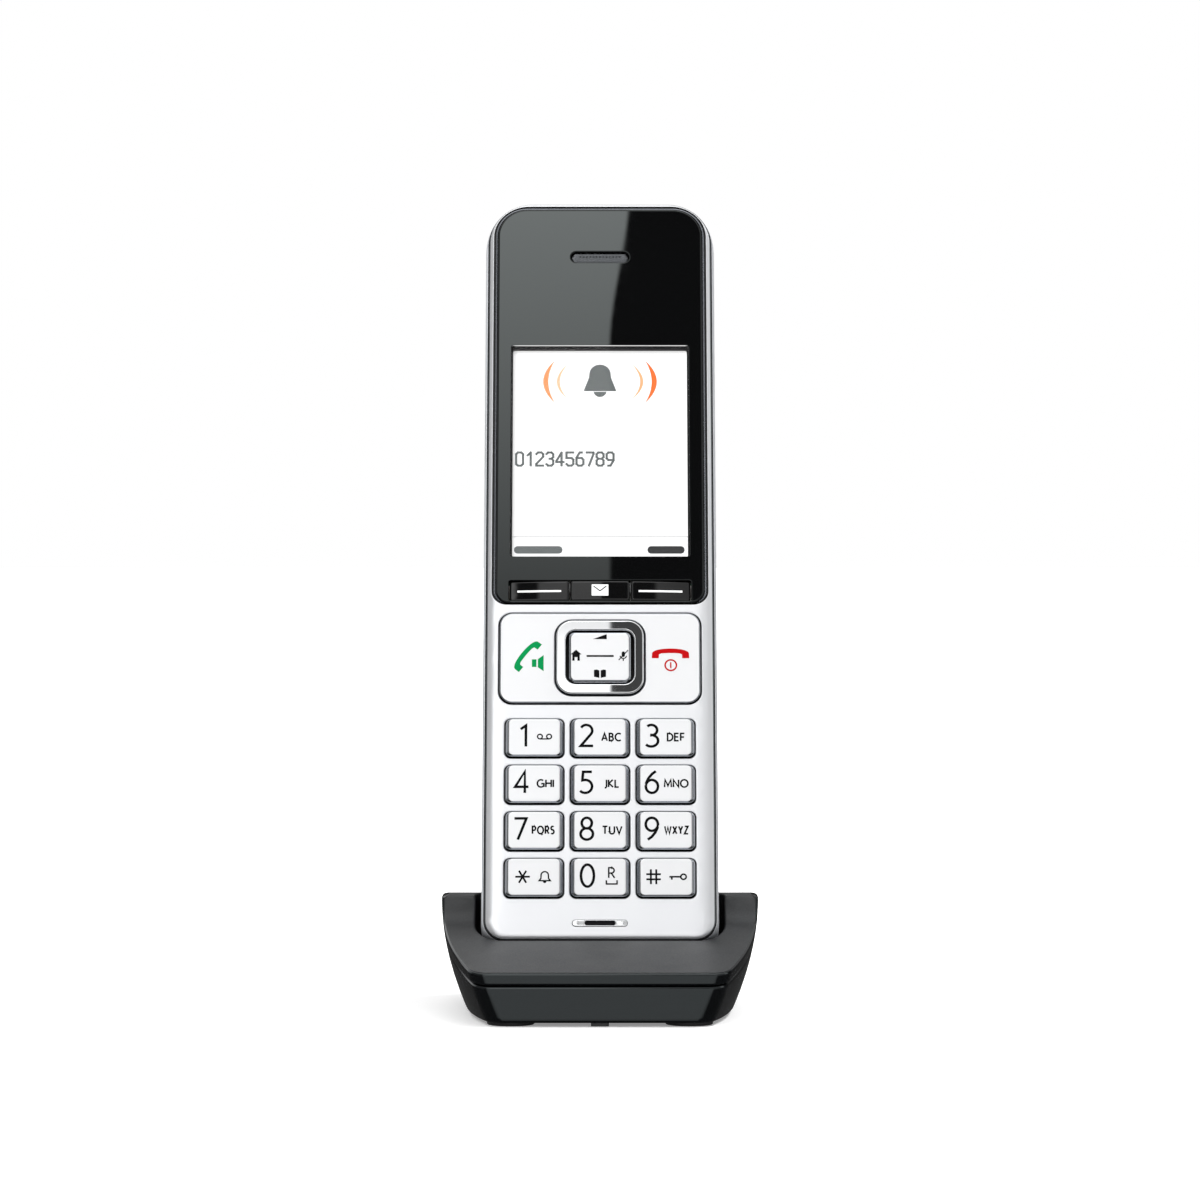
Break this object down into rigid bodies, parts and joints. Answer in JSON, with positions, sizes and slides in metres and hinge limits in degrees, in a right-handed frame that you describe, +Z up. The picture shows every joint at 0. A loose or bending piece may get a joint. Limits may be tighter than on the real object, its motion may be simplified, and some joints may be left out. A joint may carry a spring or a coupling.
{
  "type": "cordless phone with charging cradle",
  "caption": "Cordless phone handset with display, keypad and navigation ring, leaning in a low black charging cradle.",
  "frame": {"origin": "on the desk, midway across and midway between the cradle's front face and the handset's rearmost edge", "axes": "+Z up, -Y towards the keypad side, +X to the right seen from the front"},
  "size_m": [0.0658, 0.1034, 0.169],
  "materials": {
    "cradle_matte": "fine grained black plastic",
    "cradle_gloss": "polished black plastic",
    "rubber_foot": "soft rubber",
    "contact_gold": "gold plated spring metal",
    "board": "green circuit board",
    "socket_plastic": "moulded black plastic",
    "screw_steel": "zinc plated steel",
    "casing_silver": "satin silver metallic paint",
    "casing_dark": "satin dark plastic",
    "window_gloss": "black gloss acrylic",
    "foam": "foam gasket",
    "grille_metal": "dark satin metal",
    "part_black": "black component plastic",
    "lcd": "display glass",
    "light_guide": "white light guide",
    "shield_tin": "tin plated sheet",
    "silicone": "translucent silicone",
    "dome_foil": "polyester foil",
    "cell_sleeve": "printed cell sleeve",
    "key_satin": "satin pearl paint",
    "key_black": "black gloss plastic",
    "ring_chrome": "polished metallised plastic"
  },
  "bodies": {
    "cradle": {"cradle_top_shell": "cradle_matte", "cradle_base_shell": "cradle_gloss", "cradle_feet": "rubber_foot", "cradle_board": "board", "power_socket": "socket_plastic", "cradle_screws": "screw_steel"},
    "handset": {"front_casing": "casing_silver", "back_casing": "casing_dark", "display_window": "window_gloss", "display_gasket": "foam", "earpiece_grille": "grille_metal", "earpiece_speaker": "part_black", "lcd_glass": "lcd", "lcd_backlight": "light_guide", "main_board": "board", "rf_shield": "shield_tin", "antenna": "contact_gold", "keypad_mat": "silicone", "dome_sheet": "dome_foil", "mic_grille": "casing_silver", "microphone": "screw_steel", "loudspeaker": "part_black", "battery_left": "cell_sleeve", "battery_right": "cell_sleeve", "battery_springs": "screw_steel", "battery_contacts": "screw_steel", "charge_pads": "contact_gold", "handset_screws": "screw_steel"},
    "contact_left": {"contact_blade_left": "contact_gold"},
    "contact_right": {"contact_blade_right": "contact_gold"},
    "key_1": {"key_1": "key_satin"},
    "key_2": {"key_2": "key_satin"},
    "key_3": {"key_3": "key_satin"},
    "key_4": {"key_4": "key_satin"},
    "key_5": {"key_5": "key_satin"},
    "key_6": {"key_6": "key_satin"},
    "key_7": {"key_7": "key_satin"},
    "key_8": {"key_8": "key_satin"},
    "key_9": {"key_9": "key_satin"},
    "key_star": {"key_star": "key_satin"},
    "key_0": {"key_0": "key_satin"},
    "key_hash": {"key_hash": "key_satin"},
    "softkey_left": {"softkey_left": "key_black"},
    "message_key": {"message_key": "key_black"},
    "softkey_right": {"softkey_right": "key_black"},
    "call_rocker": {"call_plate": "key_satin"},
    "nav_gimbal": {"nav_pivot": "part_black"},
    "nav_ring": {"nav_ring": "ring_chrome"},
    "nav_cap": {"nav_cap": "key_satin"},
    "battery_cover": {"battery_cover": "casing_dark"}
  },
  "joints": [
    {"name": "handset_lift", "type": "slide", "parent": "cradle", "child": "handset", "axis": [0, 0.3746, 0.9272], "range_m": [0, 0.06]},
    {"name": "contact_left_press", "type": "slide", "parent": "cradle", "child": "contact_left", "axis": [0, -0.3746, -0.9272], "range_m": [0, 0.0008], "stiffness_N_per_m": 500},
    {"name": "contact_right_press", "type": "slide", "parent": "cradle", "child": "contact_right", "axis": [0, -0.3746, -0.9272], "range_m": [0, 0.0008], "stiffness_N_per_m": 500},
    {"name": "key_1_press", "type": "slide", "parent": "handset", "child": "key_1", "axis": [0, 0.9272, -0.3746], "range_m": [0, 0.0005], "stiffness_N_per_m": 1500},
    {"name": "key_2_press", "type": "slide", "parent": "handset", "child": "key_2", "axis": [0, 0.9272, -0.3746], "range_m": [0, 0.0005], "stiffness_N_per_m": 1500},
    {"name": "key_3_press", "type": "slide", "parent": "handset", "child": "key_3", "axis": [0, 0.9272, -0.3746], "range_m": [0, 0.0005], "stiffness_N_per_m": 1500},
    {"name": "key_4_press", "type": "slide", "parent": "handset", "child": "key_4", "axis": [0, 0.9272, -0.3746], "range_m": [0, 0.0005], "stiffness_N_per_m": 1500},
    {"name": "key_5_press", "type": "slide", "parent": "handset", "child": "key_5", "axis": [0, 0.9272, -0.3746], "range_m": [0, 0.0005], "stiffness_N_per_m": 1500},
    {"name": "key_6_press", "type": "slide", "parent": "handset", "child": "key_6", "axis": [0, 0.9272, -0.3746], "range_m": [0, 0.0005], "stiffness_N_per_m": 1500},
    {"name": "key_7_press", "type": "slide", "parent": "handset", "child": "key_7", "axis": [0, 0.9272, -0.3746], "range_m": [0, 0.0005], "stiffness_N_per_m": 1500},
    {"name": "key_8_press", "type": "slide", "parent": "handset", "child": "key_8", "axis": [0, 0.9272, -0.3746], "range_m": [0, 0.0005], "stiffness_N_per_m": 1500},
    {"name": "key_9_press", "type": "slide", "parent": "handset", "child": "key_9", "axis": [0, 0.9272, -0.3746], "range_m": [0, 0.0005], "stiffness_N_per_m": 1500},
    {"name": "key_star_press", "type": "slide", "parent": "handset", "child": "key_star", "axis": [0, 0.9272, -0.3746], "range_m": [0, 0.0005], "stiffness_N_per_m": 1500},
    {"name": "key_0_press", "type": "slide", "parent": "handset", "child": "key_0", "axis": [0, 0.9272, -0.3746], "range_m": [0, 0.0005], "stiffness_N_per_m": 1500},
    {"name": "key_hash_press", "type": "slide", "parent": "handset", "child": "key_hash", "axis": [0, 0.9272, -0.3746], "range_m": [0, 0.0005], "stiffness_N_per_m": 1500},
    {"name": "softkey_left_press", "type": "slide", "parent": "handset", "child": "softkey_left", "axis": [0, 0.9272, -0.3746], "range_m": [0, 0.0004], "stiffness_N_per_m": 1500},
    {"name": "message_key_press", "type": "slide", "parent": "handset", "child": "message_key", "axis": [0, 0.9272, -0.3746], "range_m": [0, 0.0004], "stiffness_N_per_m": 1500},
    {"name": "softkey_right_press", "type": "slide", "parent": "handset", "child": "softkey_right", "axis": [0, 0.9272, -0.3746], "range_m": [0, 0.0004], "stiffness_N_per_m": 1500},
    {"name": "call_rock", "type": "hinge", "parent": "handset", "child": "call_rocker", "pos_m": [0, -0.0046, 0.07215], "axis": [0, 0.3746, 0.9272], "range_deg": [-1.5, 1.5], "stiffness_Nm_per_rad": 0.2},
    {"name": "nav_pitch", "type": "hinge", "parent": "handset", "child": "nav_gimbal", "pos_m": [0, -0.00214, 0.07116], "axis": [1, 0, 0], "range_deg": [-2, 2], "stiffness_Nm_per_rad": 0.1},
    {"name": "nav_yaw", "type": "hinge", "parent": "nav_gimbal", "child": "nav_ring", "pos_m": [0, -0.00319, 0.07158], "axis": [0, 0.3746, 0.9272], "range_deg": [-2, 2], "stiffness_Nm_per_rad": 0.1},
    {"name": "nav_press", "type": "slide", "parent": "handset", "child": "nav_cap", "axis": [0, 0.9272, -0.3746], "range_m": [0, 0.0004], "stiffness_N_per_m": 1500},
    {"name": "cover_remove", "type": "slide", "parent": "handset", "child": "battery_cover", "axis": [0, 0.9272, -0.3746], "range_m": [0, 0.015]}
  ]
}
